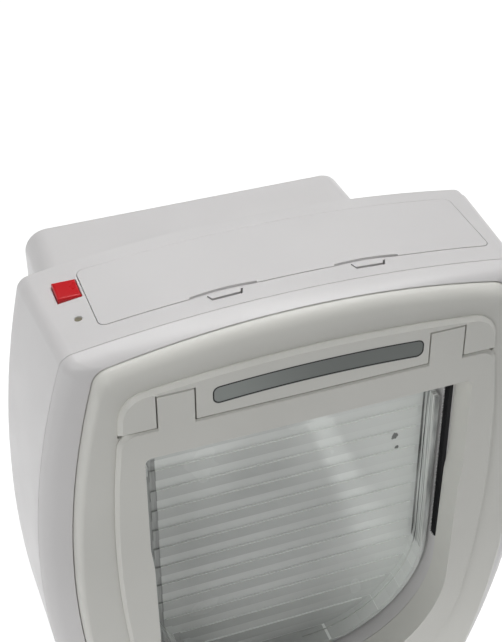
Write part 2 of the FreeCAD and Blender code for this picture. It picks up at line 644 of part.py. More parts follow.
def make_flap_panel():
    """The clear flap: a ribbed pane at the back of a deep rim, with a hinge barrel across its top."""
    tray = flap_prism(FLAP_LIP_FRONT, FLAP_BACK).cut(flap_prism(FLAP_LIP_FRONT - 1, FLAP_FRONT, FLAP_LIP))
    groove = flap_prism(LIP_GROOVE_Y - LIP_GROOVE / 2, LIP_GROOVE_Y + LIP_GROOVE / 2, FLAP_LIP - LIP_GROOVE)
    tray = tray.cut(groove)
    bars = []
    low, high = FLAP_BOTTOM + FLAP_MARGIN, FLAP_TOP - FLAP_MARGIN - 2 * FLAP_KNUCKLE_RADIUS
    for i in range(int((high - low) // RIB_PITCH) + 1):
        z = high - i * RIB_PITCH
        bars.append(box(-DEEP, DEEP, FLAP_FRONT - RIB_HEIGHT, FLAP_FRONT + EPS, max(z - RIB_PITCH / 2, low), z))
    field = flap_prism(FLAP_FRONT - RIB_HEIGHT, FLAP_FRONT + EPS, FLAP_MARGIN)
    relief = box(-DEEP, DEEP, FLAP_LIP_FRONT - 1, FLAP_PIVOT_Y - FLAP_KNUCKLE_RADIUS,
                 FLAP_PIVOT_Z - LIP_TOP_DROP, DEEP)
    shape = tray.cut(relief).fuse(field.common(Part.makeCompound(bars)))
    barrel = rod(FLAP_KNUCKLE_RADIUS, 2 * FLAP_HALF, V(-FLAP_HALF, FLAP_PIVOT_Y, FLAP_PIVOT_Z), V(1, 0, 0))
    shape = shape.fuse(barrel)
    for sx in (-1, 1):
        start = V(sx * (FLAP_HALF - FLAP_PIN_LENGTH / 2), FLAP_PIVOT_Y, FLAP_PIVOT_Z)
        shape = shape.cut(rod(FLAP_PIN_RADIUS, FLAP_PIN_LENGTH, start, V(sx, 0, 0)))
    return solid_of(shape.fuse(magnet_pocket()).cut(flap_magnet()))


def magnet_box(length, width, thick):
    """A block in the middle of the flap's lower rim."""
    middle = (FLAP_LIP_FRONT + 3 + FLAP_FRONT) / 2
    return box(-length / 2, length / 2, middle - width / 2, middle + width / 2, FLAP_BOTTOM, FLAP_BOTTOM + thick)


def magnet_pocket():
    """The thick part of the lower rim that holds the flap's magnet."""
    return magnet_box(MAGNET_LENGTH + 2.4, MAGNET_HEIGHT + 2, MAGNET_THICK + MAGNET_COVER)


def flap_magnet():
    return magnet_box(MAGNET_LENGTH, MAGNET_HEIGHT, MAGNET_THICK)


def make_flap_pins():
    start = FLAP_HALF - FLAP_PIN_LENGTH / 2
    reach = LINER_HALF + LINER_WALL - start
    return Part.makeCompound([rod(FLAP_PIN_RADIUS, reach, V(sx * start, FLAP_PIVOT_Y, FLAP_PIVOT_Z), V(sx, 0, 0))
                              for sx in (-1, 1)])


def make_pile_strip(sx):
    """A black draught strip let into the liner's side wall, just in front of the flap."""
    x0, x1 = sorted((sx * (LINER_HALF - PILE_PROUD), sx * (LINER_HALF + PILE_LET_IN)))
    return box(x0, x1, LINER_FRONT_Y, LINER_FRONT_Y + PILE_WIDTH, PILE_BOTTOM, PILE_TOP)


# Battery bay

def make_battery_tray():
    """The tub that hangs under the lid, with a ledge that the lid rests on."""
    rim = core_prism(LID_FRONT - TRAY_RIM, LID_REAR + TRAY_RIM - 1)
    rim = rim.cut(core_prism(LID_FRONT - 2 * TRAY_RIM, LID_REAR + 2 * TRAY_RIM, WALL))
    rim = rim.common(box(LID_LEFT - TRAY_SIDE, LID_RIGHT + TRAY_RIM / 2, -DEEP, DEEP, 0, DEEP))
    x_mid = (LID_LEFT + LID_RIGHT) / 2
    x0, x1 = x_mid - TRAY_HALF, x_mid + TRAY_HALF
    y0, y1 = LID_FRONT + TRAY_LEDGE, LID_REAR - TRAY_LEDGE
    tub = core_prism(y0, y1).common(box(x0, x1, y0 - 1, y1 + 1, TRAY_FLOOR, DEEP))
    well = box(x0 + TRAY_WALL, x1 - TRAY_WALL, y0 + TRAY_WALL, y1 - TRAY_WALL, TRAY_FLOOR + TRAY_WALL, DEEP)
    shape = rim.fuse(tub).cut(well)
    for centre in LATCH_CENTRES:
        half = TONGUE_BACK / 2 + 1
        shape = shape.cut(box(centre - half, centre + half, LID_FRONT - 2 * TRAY_RIM, y0 - 0.5, TRAY_FLOOR, DEEP))
    left = LID_LEFT + LEG_IN
    for x, y in ((left, y0 + LEG_END), (left, y1 - LEG_END), (x0 + LEG_FAR, (y0 + y1) / 2)):
        leg = rod(TRAY_LEG, DEEP, V(x, y, BOARD_Z), V(0, 0, 1)).common(core_prism(y - 9, y + 9, WALL))
        shape = shape.fuse(leg.common(box(-DEEP, DEEP, -DEEP, DEEP, 0, TRAY_FLOOR + 1 if x > x0 else DEEP)))
    return solid_of(shape)


def make_battery_lid():
    """The flush lid over the batteries, with a pressed tongue and a groove at each latch."""
    y0, y1 = LID_FRONT - 2 * TONGUE_REACH, LID_REAR + 1
    plate = housing_prism(y0, y1).cut(core_prism(y0 - 1, y1 + 1)).common(lid_box(0.0))
    sheet = housing_prism(y0, y1, TONGUE_DROP).cut(core_prism(y0 - 1, y1 + 1))
    for centre in LATCH_CENTRES:
        tongue = trapezoid(centre, TONGUE_BACK - 2 * GAP, TONGUE_FRONT - 2 * GAP, LID_FRONT + LATCH_SLIT_BOW,
                           LID_FRONT - TONGUE_REACH + TONGUE_GAP, TRAY_FLOOR, DEEP)
        plate = plate.fuse(sheet.common(tongue)).cut(latch_slit(centre))
    return solid_of(plate)


def cell_place(index):
    """Start point and direction of one cell: two rows of two, laid head to tail."""
    row, column = divmod(index, 2)
    middle = (LID_FRONT + LID_REAR) / 2
    y = middle + (row - 0.5) * CELL_PITCH
    x_mid = (LID_LEFT + LID_RIGHT) / 2
    z = TRAY_FLOOR + TRAY_WALL + CELL_RADIUS
    way = 1 if row == 0 else -1
    full = CELL_LENGTH + CELL_NUB
    start = x_mid + way * ((column - 1) * (full + GAP) + GAP / 2)
    return V(start, y, z), V(way, 0, 0)


def make_cell(index):
    start, way = cell_place(index)
    can = rod(CELL_RADIUS, CELL_LENGTH, start, way)
    nub = rod(CELL_NUB_RADIUS, CELL_NUB, start + way * CELL_LENGTH, way)
    return solid_of(can.fuse(nub))


def make_contacts():
    """End contacts of the battery bay: a plate and a spring at each end of each row."""
    parts = []
    x_mid = (LID_LEFT + LID_RIGHT) / 2
    for row in (0, 1):
        start, way = cell_place(2 * row)
        y, z = start.y, start.z
        for side in (-1, 1):
            wall = x_mid + side * (TRAY_HALF - TRAY_WALL)
            face = x_mid + side * (CELL_LENGTH + CELL_NUB + 2 * GAP)
            x0, x1 = sorted((wall, wall - side * CONTACT_THICK))
            plate = box(x0, x1, y - CONTACT_HALF, y + CONTACT_HALF, z - CONTACT_HALF, z + CONTACT_HALF)
            reach = abs(wall - face) - CONTACT_THICK - GAP
            tip = V(wall - side * CONTACT_THICK, y, z)
            spring = rod(SPRING_RADIUS, reach, tip, V(-side, 0, 0))
            parts.append(solid_of(plate.fuse(spring)))
    return Part.makeCompound(parts)


# Button, lamp, board

def roof_z(x, y):
    """The height of the housing's top face at one point."""
    return HOUSING_TOP - TOP_FALL * depth_share(y) - END_RADIUS + math.sqrt(END_RADIUS ** 2 - x ** 2)


def ceiling_z(x):
    """The height of the hollow's top at one x."""
    radius = END_RADIUS - WALL
    return HOUSING_TOP - TOP_FALL - WALL - radius + math.sqrt(radius ** 2 - x ** 2)


def make_button():
    """The red button: a cap through the top, a flange that keeps it in and a stem down to the key switch."""
    top = roof_z(BUTTON_X, BUTTON_Y) + BUTTON_PROUD
    under = ceiling_z(BUTTON_X - BUTTON_WIDTH) - GAP
    half_x, half_y = BUTTON_WIDTH / 2, BUTTON_LENGTH / 2
    cap = box(BUTTON_X - half_x, BUTTON_X + half_x, BUTTON_Y - half_y, BUTTON_Y + half_y, under - BUTTON_FLANGE, top)
    cap = cap.makeFillet(EDGE_ROUND, [e for e in cap.Edges if abs(e.BoundBox.ZMin - top) < EPS])
    flange = box(BUTTON_X - half_x - BUTTON_FLANGE, LID_LEFT - TRAY_SIDE - GAP, BUTTON_Y - half_y - BUTTON_FLANGE,
                 BUTTON_Y + half_y + BUTTON_FLANGE, under - BUTTON_FLANGE, under)
    stem_z = BOARD_Z + SWITCH_HEIGHT + GAP + BUTTON_TRAVEL
    stem = rod(BUTTON_STEM, under - stem_z, V(BUTTON_X, BUTTON_Y, stem_z), V(0, 0, 1))
    return solid_of(cap.fuse(flange).fuse(stem))


def make_board():
    """The reader's circuit board with its key switch and chips, held under the button."""
    x0, y1 = BUTTON_X - BOARD_LEFT, BUTTON_Y + BOARD_BACK
    board = box(x0, x0 + BOARD_SIZE[0], y1 - BOARD_SIZE[1], y1, BOARD_Z - BOARD_THICK, BOARD_Z)
    switch = box(BUTTON_X - SWITCH_HALF, BUTTON_X + SWITCH_HALF, BUTTON_Y - SWITCH_HALF, BUTTON_Y + SWITCH_HALF,
                 BOARD_Z, BOARD_Z + SWITCH_HEIGHT)
    chip_x, chip_y = x0 + CHIP_AT[0], y1 - CHIP_AT[1]
    chip = box(chip_x, chip_x + CHIP_SIZE[0], chip_y, chip_y + CHIP_SIZE[1], BOARD_Z, BOARD_Z + CHIP_SIZE[2])
    at = V(x0 + CAPACITOR_AT[0], y1 - CAPACITOR_AT[1], BOARD_Z)
    capacitor = rod(CAPACITOR_SIZE[0], CAPACITOR_SIZE[1], at, V(0, 0, 1))
    return solid_of(board.fuse(switch).fuse(chip).fuse(capacitor))


def make_lamp():
    """The signal lamp: a light guide from the board to the small hole in the top."""
    length = roof_z(BUTTON_X, LAMP_Y) - LAMP_SUNK - BOARD_Z
    return rod(LAMP_RADIUS, length, V(BUTTON_X, LAMP_Y, BOARD_Z), V(0, 0, 1))


def make_antenna():
    """The reader's coil, wound round the liner inside the double wall of the tunnel."""
    end = ANTENNA_START + ANTENNA_LENGTH
    outer = liner_prism(ANTENNA_START, end, LINER_WALL + ANTENNA_WIRE)
    return solid_of(outer.cut(liner_prism(ANTENNA_START - 1, end + 1, LINER_WALL)))


# Latch

def make_latch_bolt():
    """The reader's bolt, which rises in front of the flap and stops it swinging indoors."""
    y0, y1 = bolt_range()
    top = LINER_BOTTOM - BOLT_REST
    bolt = box(BOLT_X - BOLT_WIDTH / 2, BOLT_X + BOLT_WIDTH / 2, y0, y1, top - BOLT_LENGTH, top)
    return solid_of(bolt.makeFillet(0.8, [e for e in bolt.Edges if abs(e.BoundBox.ZMin - top) < EPS]))


def make_latch_coil():
    """The solenoid that drives the bolt, fixed under the sill behind the liner's front flange."""
    y0, y1 = bolt_range()
    width, depth = COIL_BOX
    foot = LINER_BOTTOM - BOLT_REST - BOLT_LENGTH
    front = LINER_FRONT_Y + LINER_FLANGE
    body = box(BOLT_X - width / 2, BOLT_X + width / 2, front, front + depth, foot - COIL_FOOT, LINER_BOTTOM - LINER_WALL)
    shaft = box(BOLT_X - BOLT_WIDTH / 2 - BOLT_SLACK, BOLT_X + BOLT_WIDTH / 2 + BOLT_SLACK, y0 - BOLT_SLACK,
                y1 + BOLT_SLACK, foot - GAP, DEEP)
    return solid_of(body.cut(shaft))


def make_sill_magnet():
    z1 = LINER_BOTTOM - LINER_WALL
    half = MAGNET_LENGTH / 2 - 1.5
    return box(-half, half, FLAP_PIVOT_Y - MAGNET_HEIGHT / 2, FLAP_PIVOT_Y + MAGNET_HEIGHT / 2, z1 - 3, z1)


PARTS = {
    "main_housing": make_main_housing,
    "rear_shell": make_rear_shell,
    "tunnel_liner": make_tunnel_liner,
    "front_bezel": make_front_bezel,
    "front_cover": make_front_cover,
    "label_plate": lambda: label_prism(FACE_Y, FACE_Y + LABEL_THICK),
    "frame_hinge_pins": make_hinge_pins,
    "front_frame": make_front_frame,
    "flap_panel": make_flap_panel,
    "flap_pins": make_flap_pins,
    "flap_magnet": flap_magnet,
    "sill_magnet": make_sill_magnet,
    "pile_strip_left": lambda: make_pile_strip(-1),
    "pile_strip_right": lambda: make_pile_strip(1),
    "battery_tray": make_battery_tray,
    "battery_lid": make_battery_lid,
    "battery_cell_1": lambda: make_cell(0),
    "battery_cell_2": lambda: make_cell(1),
    "battery_cell_3": lambda: make_cell(2),
    "battery_cell_4": lambda: make_cell(3),
    "battery_contacts": make_contacts,
    "learn_button": make_button,
    "signal_lamp": make_lamp,
    "circuit_board": make_board,
    "antenna_coil": make_antenna,
    "latch_bolt": make_latch_bolt,
    "latch_solenoid": make_latch_coil,
}

os.makedirs("parts", exist_ok=True)
for name, make in PARTS.items():
    piece = make()
    b = piece.BoundBox
    print(f"{name:18s} {len(piece.Solids)} solid(s) valid {piece.isValid()} vol {piece.Volume / 1000:8.2f} cm3 "
          f"x {b.XMin:7.1f} {b.XMax:7.1f} y {b.YMin:7.1f} {b.YMax:7.1f} z {b.ZMin:7.1f} {b.ZMax:7.1f}")
    piece.exportStep(f"parts/{name}.step")
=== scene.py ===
import math

import bmesh
import bpy
from bpy.props import FloatProperty, FloatVectorProperty, PointerProperty
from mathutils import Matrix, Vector


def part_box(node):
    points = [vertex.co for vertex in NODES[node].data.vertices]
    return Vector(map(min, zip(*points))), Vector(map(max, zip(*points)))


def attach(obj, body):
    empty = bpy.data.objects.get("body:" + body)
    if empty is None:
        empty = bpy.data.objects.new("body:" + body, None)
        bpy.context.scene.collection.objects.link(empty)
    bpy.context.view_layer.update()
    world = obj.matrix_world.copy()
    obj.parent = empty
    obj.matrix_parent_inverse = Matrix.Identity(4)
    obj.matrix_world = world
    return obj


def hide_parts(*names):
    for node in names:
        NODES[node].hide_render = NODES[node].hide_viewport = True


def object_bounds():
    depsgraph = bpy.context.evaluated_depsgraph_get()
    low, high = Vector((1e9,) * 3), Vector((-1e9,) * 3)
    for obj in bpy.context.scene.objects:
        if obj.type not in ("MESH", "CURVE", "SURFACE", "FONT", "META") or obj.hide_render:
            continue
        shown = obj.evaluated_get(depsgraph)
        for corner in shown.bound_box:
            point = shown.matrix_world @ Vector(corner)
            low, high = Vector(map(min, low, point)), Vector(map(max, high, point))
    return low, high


bl_info = {
    "name": "Cat flap finish",
    "version": (1, 0, 0),
    "blender": (4, 5, 0),
    "location": "3D View > Sidebar > Cat Flap",
    "description": "Finishes a microchip cat flap: shells, clear ribbed flap, battery bay and studio",
    "category": "Object",
}

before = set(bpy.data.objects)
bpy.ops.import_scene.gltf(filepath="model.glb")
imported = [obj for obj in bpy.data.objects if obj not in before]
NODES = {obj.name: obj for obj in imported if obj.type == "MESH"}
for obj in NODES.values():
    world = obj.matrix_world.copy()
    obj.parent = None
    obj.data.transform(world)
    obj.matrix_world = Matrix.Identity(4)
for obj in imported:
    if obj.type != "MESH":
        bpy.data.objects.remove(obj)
START_LOW, START_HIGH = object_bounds()

SHELLS = ("main_housing", "rear_shell", "tunnel_liner", "front_bezel", "battery_lid")
FRONT = ("front_cover", "front_frame")
STEEL = ("frame_hinge_pins", "flap_pins", "latch_solenoid")
CELLS = ("battery_cell_1", "battery_cell_2", "battery_cell_3", "battery_cell_4")

# The flap: where its ribs start, its tones of painted shade and painted light, its painted reflection
# streak, its painted glow and its marks, in metres on its own plane
RIB_TOP, RIB_PITCH = 0.0455, 0.0116
# The ribs' bands of painted light and shade: their strength at the left and at the right
RIB_LIGHT_SHADE, RIB_LIGHT_SHADE_RIGHT = 0.17, 0.03
# The flap's tone where lit and in painted shade, its alpha, and a painted glow for light that comes through
# it from behind
FLAP_BRIGHT, FLAP_SHADED, FLAP_ALPHA, FLAP_PAINTED_GLOW = 0.90, 0.58, 0.8, 0.045
# Where the streak of painted reflection crosses, how it slants, and how strong it is
REFLECTION_X, REFLECTION_SLOPE, REFLECTION_STRENGTH = 0.0292, 0.37, 0.5
# The patch of painted shade, the thin lines of painted shade at the rib steps, and the painted light on the
# step faces
PATCH_SHADE, RIB_SHADE_LINE, RIB_STEP_LIGHT = -0.13, -0.03, 1.1
# Each dark line of painted shade along the rim, in its groove and at the pane's joint: front, back, change
# of tone
RIM_SHADE_LINES = ((-0.0500, -0.0490, -0.35), (-0.0475, -0.0462, -0.40))
# Each mark: x, z, radius
FLAP_MARKS = ((0.0510, 0.0195, 0.0016), (0.0529, 0.0117, 0.0010))
MARK_DARK = -0.85

# The label: the radius of its arched top edge, its corners, and its dark outline, a ring of painted shade
# for the shadow in the gap round it
ARCH_RADIUS, LABEL_CORNER, ARCH_STEPS = 0.588, 0.0029, 24
# The painted shade ring: its width, how far it stands proud of the face, and how deep it goes
SHADE_RING_WIDTH, SHADE_RING_PROUD, SHADE_RING_DEEP = 0.00055, 0.00006, 0.0002

# The draught strips' bristles, and the battery contacts' plates and springs
BRISTLE_LEAN = 0.30
STRIP_MARGIN_Y, STRIP_MARGIN_Z = 0.0006, 0.0008
CONTACT_THICK, SPRING_WIDE, SPRING_NARROW, SPRING_GAP = 0.0005, 0.0034, 0.0021, 0.0012

# Edges: the angle up to which they are smooth, in degrees, and the weld of a node's loose triangles
SMOOTH_LIMIT = 40.0
WELD_DISTANCE = 0.000004


# Helpers for node trees and modifiers

class Tree:
    """A short way to add and join nodes in one tree."""

    def __init__(self, tree):
        self.tree = tree

    def add(self, kind, values=(), **settings):
        node = self.tree.nodes.new(kind)
        for key, value in settings.items():
            setattr(node, key, value)
        for key, value in dict(values).items():
            node.inputs[key].default_value = value
        return node

    def join(self, source, target):
        self.tree.links.new(source, target)

    def position(self):
        """The Object coordinates as three sockets, in metres."""
        split = self.add("ShaderNodeSeparateXYZ")
        self.join(self.add("ShaderNodeTexCoord").outputs["Object"], split.inputs["Vector"])
        return split.outputs["X"], split.outputs["Y"], split.outputs["Z"]

    def noise(self, scale, detail=2.0, stretch=None):
        """A noise texture on Object coordinates; scale is features per metre."""
        coords = self.add("ShaderNodeTexCoord").outputs["Object"]
        if stretch:
            mapping = self.add("ShaderNodeMapping", {"Scale": stretch})
            self.join(coords, mapping.inputs["Vector"])
            coords = mapping.outputs["Vector"]
        texture = self.add("ShaderNodeTexNoise", {"Scale": scale, "Detail": detail, "Roughness": 0.5})
        self.join(coords, texture.inputs["Vector"])
        return texture.outputs["Fac"]

    def maths(self, operation, one, two=0.0, three=0.0):
        """One Math node on sockets or numbers."""
        node = self.add("ShaderNodeMath", operation=operation)
        for value, target in zip((one, two, three), node.inputs):
            if isinstance(value, (int, float)):
                target.default_value = value
            else:
                self.join(value, target)
        return node.outputs["Value"]

    def times(self, one, two):
        return self.maths("MULTIPLY", one, two)

    def less(self, one, two):
        return self.maths("SUBTRACT", one, two)

    def layer(self, mask, amount, base):
        """The base with an amount added where the mask is 1."""
        return self.maths("MULTIPLY_ADD", mask, amount, base)

    def spread(self, factor, low, high):
        """Maps the middle of a 0 to 1 factor onto low to high."""
        limits = {"From Min": 0.3, "From Max": 0.7, "To Min": low, "To Max": high}
        ramp = self.add("ShaderNodeMapRange", limits)
        self.join(factor, ramp.inputs["Value"])
        return ramp.outputs["Result"]

    def rise(self, value, start, end, low=0.0, high=1.0):
        """A smooth step from low to high as the value goes from start to end."""
        limits = {"From Min": start, "From Max": end, "To Min": low, "To Max": high}
        ramp = self.add("ShaderNodeMapRange", limits, interpolation_type="SMOOTHSTEP")
        self.join(value, ramp.inputs["Value"])
        return ramp.outputs["Result"]

    def fall(self, value, start, end):
        """A smooth step from 1 to 0 as the value goes from start to end."""
        return self.rise(value, start, end, 1.0, 0.0)

    def within(self, value, start, end, soft):
        """A band that is 1 between start and end, with soft edges."""
        entry = self.rise(value, start - soft, start + soft)
        return self.times(entry, self.fall(value, end - soft, end + soft))

    def tint(self, factor, one, two):
        """A mix of two colours."""
        mix = self.add("ShaderNodeMix", data_type="RGBA")
        self.join(factor, mix.inputs["Factor"])
        mix.inputs["A"].default_value = (*one[:3], 1.0)
        mix.inputs["B"].default_value = (*two[:3], 1.0)
        return mix.outputs["Result"]


def new_material(name):
    """A material with a Principled shader and nothing else, as (material, tree, shader)."""
    material = bpy.data.materials.new(name)
    material.use_nodes = True
    tree = Tree(material.node_tree)
    tree.tree.nodes.clear()
    shader = tree.add("ShaderNodeBsdfPrincipled")
    out = tree.add("ShaderNodeOutputMaterial")
    tree.join(shader.outputs["BSDF"], out.inputs["Surface"])
    return material, tree, shader


def grain(tree, shader, height, scale):
    """Fine surface texture through the shader's normal."""
    bump = tree.add("ShaderNodeBump", {"Strength": 0.4, "Distance": height})
    tree.join(tree.noise(scale, 3.0), bump.inputs["Height"])
    tree.join(bump.outputs["Normal"], shader.inputs["Normal"])


def shade(colour, k):
    """A colour made lighter or darker."""
    return tuple(min(1.0, c * k) for c in colour[:3])


def moulded_plastic(name, colour, gloss=0.38, texture=0.00004, scale=1400.0, vary=0.03):
    """Moulded plastic with a faint spark-eroded grain and slow changes of tone."""
    material, tree, shader = new_material(name)
    slow = tree.spread(tree.noise(14.0), 0.0, 1.0)
    colours = tree.tint(slow, shade(colour, 1.0 - vary), shade(colour, 1.0 + vary))
    tree.join(colours, shader.inputs["Base Color"])
    fine = tree.spread(tree.noise(60.0, 3.0), gloss - 0.04, gloss + 0.05)
    tree.join(fine, shader.inputs["Roughness"])
    grain(tree, shader, texture, scale)
    return material


def brushed_metal(name, colour, gloss=0.32):
    """Metal with fine streaks along X."""
    material, tree, shader = new_material(name)
    shader.inputs["Metallic"].default_value = 1.0
    streaks = tree.noise(900.0, 3.0, stretch=(0.05, 1.0, 1.0))
    colours = tree.tint(tree.spread(streaks, 0.0, 1.0), shade(colour, 0.88), shade(colour, 1.06))
    tree.join(colours, shader.inputs["Base Color"])
    tree.join(tree.spread(streaks, gloss - 0.06, gloss + 0.08), shader.inputs["Roughness"])
    return material


def flap_painted_shade(tree, x, z):
    """The flap's broad tones: painted shade at the lower left, and in a patch near the middle."""
    shaded = tree.times(tree.fall(x, 0.012, 0.056), tree.fall(z, -0.020, 0.060))
    shaded = tree.times(shaded, tree.rise(x, -0.062, -0.042, 0.6, 1.0))
    tone = tree.layer(shaded, FLAP_SHADED - FLAP_BRIGHT, FLAP_BRIGHT)
    # A patch of painted shade near the middle
    patch = tree.times(tree.within(x, -0.028, 0.006, 0.012), tree.within(z, 0.004, 0.046, 0.014))
    return tree.layer(patch, PATCH_SHADE, tone)


def flap_ribs(tree, tone, x, z):
    """Adds the ribs, as (tone, groove), with bands of painted light and shade, fainter towards the right,
    where thin lines of painted shade show instead, and painted light on the step faces.
    """
    right = tree.rise(x, -0.030, 0.038)
    phase = tree.maths("FRACT", tree.maths("DIVIDE", tree.less(RIB_TOP, z), RIB_PITCH))
    groove = tree.within(phase, 0.5, 1.0, 0.01)
    # Bands of painted light and shade on the ribs, strong at the left
    band_light_shade = tree.layer(right, RIB_LIGHT_SHADE_RIGHT - RIB_LIGHT_SHADE, RIB_LIGHT_SHADE)
    tone = tree.layer(tree.less(groove, 0.5), band_light_shade, tone)
    # Thin lines of painted shade along the rib steps, shown at the right
    upper = tree.within(phase, 0.485, 0.505, 0.01)
    line = tree.maths("ADD", upper, tree.within(phase, 0.975, 0.995, 0.01))
    tone = tree.layer(tree.times(line, right), RIB_SHADE_LINE, tone)
    # Painted light on the thin step faces, which lie in shade
    step = tree.maths("ADD", tree.rise(phase, 0.988, 0.994), tree.fall(phase, 0.006, 0.012))
    return tree.layer(step, RIB_STEP_LIGHT, tone), groove


def flap_painted_reflection(tree, tone, x, z, groove):
    """Adds a painted reflection: a slanting pale streak that the ribs break up and that fades downwards."""
    far = tree.maths("ABSOLUTE", tree.less(x, tree.layer(z, -REFLECTION_SLOPE, REFLECTION_X)))
    wide = tree.maths("DIVIDE", far, tree.rise(z, -0.050, 0.035, 0.016, 0.008))
    streak = tree.times(tree.fall(wide, 0.1, 1.0), tree.rise(z, -0.070, -0.030))
    streak = tree.times(streak, tree.layer(groove, 0.55, 0.45))
    streak = tree.times(streak, tree.spread(tree.noise(90.0), 0.75, 1.1))
    streak = tree.times(streak, tree.rise(z, -0.030, 0.040, 0.35, 1.0))
    return tree.layer(streak, REFLECTION_STRENGTH, tone)


def flap_edges(tree, tone, x, y, z):
    """Sets the dark band at the left edge and the ridged rim at the right, with lines of painted shade along
    the rim.
    """
    edge = tree.times(tree.fall(x, -0.0590, -0.0586), tree.fall(z, 0.0405, 0.0415))
    edge_tone = tree.spread(tree.noise(700.0, stretch=(1.0, 0.05, 0.05)), 0.26, 0.58)
    tone = tree.layer(edge, tree.less(edge_tone, tone), tone)
    rim = tree.rise(x, 0.0636, 0.0640)
    ridges = tree.spread(tree.noise(1100.0, stretch=(0.2, 1.0, 0.03)), 0.30, 1.0)
    # Lines of painted shade in the rim's groove and at the pane's joint
    for front, back, amount in RIM_SHADE_LINES:
        ridges = tree.layer(tree.within(y, front, back, 0.0002), amount, ridges)
    return tree.layer(rim, tree.less(ridges, tone), tone)


def flap_marks(tree, tone, x, z):
    """Darkens two small ragged marks."""
    ragged = tree.spread(tree.noise(900.0), -0.0006, 0.0006)
    for mark_x, mark_z, radius in FLAP_MARKS:
        across, down = tree.less(x, mark_x), tree.less(z, mark_z)
        square = tree.maths("ADD", tree.times(across, across), tree.times(down, down))
        away = tree.maths("ADD", tree.maths("SQRT", square), ragged)
        spot = tree.fall(away, radius - 0.0003, radius + 0.0002)
        tone = tree.times(tone, tree.layer(spot, MARK_DARK, 1.0))
    return tone


def clear_ribbed(colour):
    """Clear plastic with painted shade, bands of painted light and shade on its ribs, a painted reflection
    streak and a painted glow for light from behind; its rim differs a little in tone, with lines of painted
    shade, and it has two small dark marks.
    """
    material, tree, shader = new_material("clear_plastic")
    x, y, z = tree.position()
    tone, groove = flap_ribs(tree, flap_painted_shade(tree, x, z), x, z)
    tone = flap_painted_reflection(tree, tone, x, z, groove)
    tone = flap_edges(tree, tone, x, y, z)
    tone = flap_marks(tree, tone, x, z)
    tree.join(tree.tint(tone, (0, 0, 0), colour), shader.inputs["Base Color"])
    tree.join(tree.spread(tree.noise(40.0), 0.20, 0.28), shader.inputs["Roughness"])
    shader.inputs["Alpha"].default_value = FLAP_ALPHA
    # Painted light: the flap glows by itself with its tone, standing in for light that comes through it from
    # behind
    shader.inputs["Emission Color"].default_value = (*colour[:3], 1.0)
    tree.join(tree.times(tone, FLAP_PAINTED_GLOW), shader.inputs["Emission Strength"])
    return material


def dress(node, material):
    """Gives a carried-over node its material."""
    o = NODES[node]
    o.data.materials.clear()
    o.data.materials.append(material)


def edge_softener():
    """A tree that welds a node's loose triangles and shades it smooth up to a limit angle."""
    group = bpy.data.node_groups.new("soft_edges", "GeometryNodeTree")
    group.interface.new_socket("Geometry", in_out="INPUT", socket_type="NodeSocketGeometry")
    limit = group.interface.new_socket("Limit angle", in_out="INPUT", socket_type="NodeSocketFloat")
    limit.default_value = math.radians(SMOOTH_LIMIT)
    group.interface.new_socket("Geometry", in_out="OUTPUT", socket_type="NodeSocketGeometry")
    tree = Tree(group)
    start, end = tree.add("NodeGroupInput"), tree.add("NodeGroupOutput")
    weld = tree.add("GeometryNodeMergeByDistance", {"Distance": WELD_DISTANCE})
    angle = tree.add("GeometryNodeInputMeshEdgeAngle")
    over = tree.add("FunctionNodeCompare", data_type="FLOAT", operation="GREATER_THAN")
    faces = tree.add("GeometryNodeSetShadeSmooth", {"Shade Smooth": True}, domain="FACE")
    edges = tree.add("GeometryNodeSetShadeSmooth", {"Shade Smooth": False}, domain="EDGE")
    tree.join(start.outputs["Geometry"], weld.inputs["Geometry"])
    tree.join(weld.outputs["Geometry"], faces.inputs["Geometry"])
    tree.join(faces.outputs["Geometry"], edges.inputs["Geometry"])
    tree.join(angle.outputs["Unsigned Angle"], over.inputs["A"])
    tree.join(start.outputs["Limit angle"], over.inputs["B"])
    tree.join(over.outputs["Result"], edges.inputs["Selection"])
    tree.join(edges.outputs["Geometry"], end.inputs["Geometry"])
    return group


def soften(node, width=0.0, segments=2):
    """Welds, rounds and smooths a carried-over node without touching its mesh."""
    o = NODES[node]
    group = bpy.data.node_groups.get("soft_edges") or edge_softener()
    if width:
        weld = o.modifiers.new("weld", "WELD")
        weld.merge_threshold = WELD_DISTANCE
        bevel = o.modifiers.new("round", "BEVEL")
        bevel.width = width
        bevel.segments = segments
        bevel.limit_method = "ANGLE"
        bevel.angle_limit = math.radians(SMOOTH_LIMIT)
        bevel.use_clamp_overlap = True
    shading = o.modifiers.new("shading", "NODES")
    shading.node_group = group
    flats = o.modifiers.new("flats", "WEIGHTED_NORMAL")
    flats.mode = "FACE_AREA"
    flats.weight = 80
    flats.keep_sharp = True


def add_object(name, data, body, material=None):
    o = bpy.data.objects.new(name, data)
    bpy.context.scene.collection.objects.link(o)
    if material:
        data.materials.append(material)
    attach(o, body)
    return o


def start_tree(name, **inputs):
    """A Geometry Nodes tree with named inputs, as (group, tree, input node, output node)."""
    group = bpy.data.node_groups.new(name, "GeometryNodeTree")
    group.interface.new_socket("Geometry", in_out="INPUT", socket_type="NodeSocketGeometry")
    for label, value in inputs.items():
        kind = "NodeSocketInt" if isinstance(value, int) else "NodeSocketFloat"
        title = label.replace("_", " ").capitalize()
        socket = group.interface.new_socket(title, in_out="INPUT", socket_type=kind)
        socket.default_value = value
    group.interface.new_socket("Geometry", in_out="OUTPUT", socket_type="NodeSocketGeometry")
    tree = Tree(group)
    return group, tree, tree.add("NodeGroupInput"), tree.add("NodeGroupOutput")


